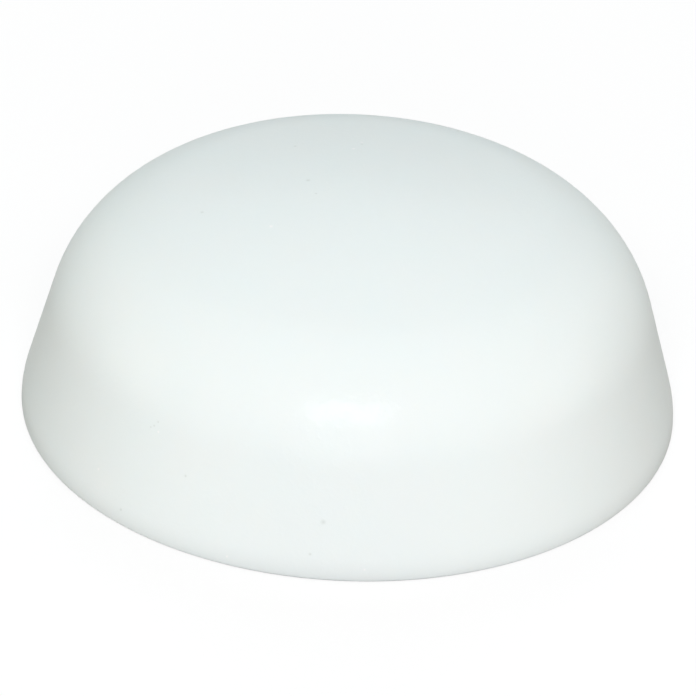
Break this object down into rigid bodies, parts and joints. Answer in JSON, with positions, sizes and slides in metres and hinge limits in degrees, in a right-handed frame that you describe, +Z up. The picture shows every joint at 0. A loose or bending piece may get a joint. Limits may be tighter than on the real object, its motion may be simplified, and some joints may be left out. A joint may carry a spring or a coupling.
{
  "type": "screw cover cap",
  "caption": "Shallow domed press-on cap for a screw cover: a thin round shell with a rounded shoulder, a flared skirt and a snap bead inside the rim.",
  "frame": {"origin": "centre of the rim plane, on the cap's axis", "axes": "+Z up the cap's axis, from the rim to the crown; X and Y are alike, because the cap is a body of revolution"},
  "size_m": [0.016, 0.016, 0.0058],
  "materials": {
    "white_plastic": "satin moulded surface with a very fine even texture and a soft sheen"
  },
  "bodies": {
    "root": {"cover_cap": "white_plastic"}
  },
  "joints": []
}
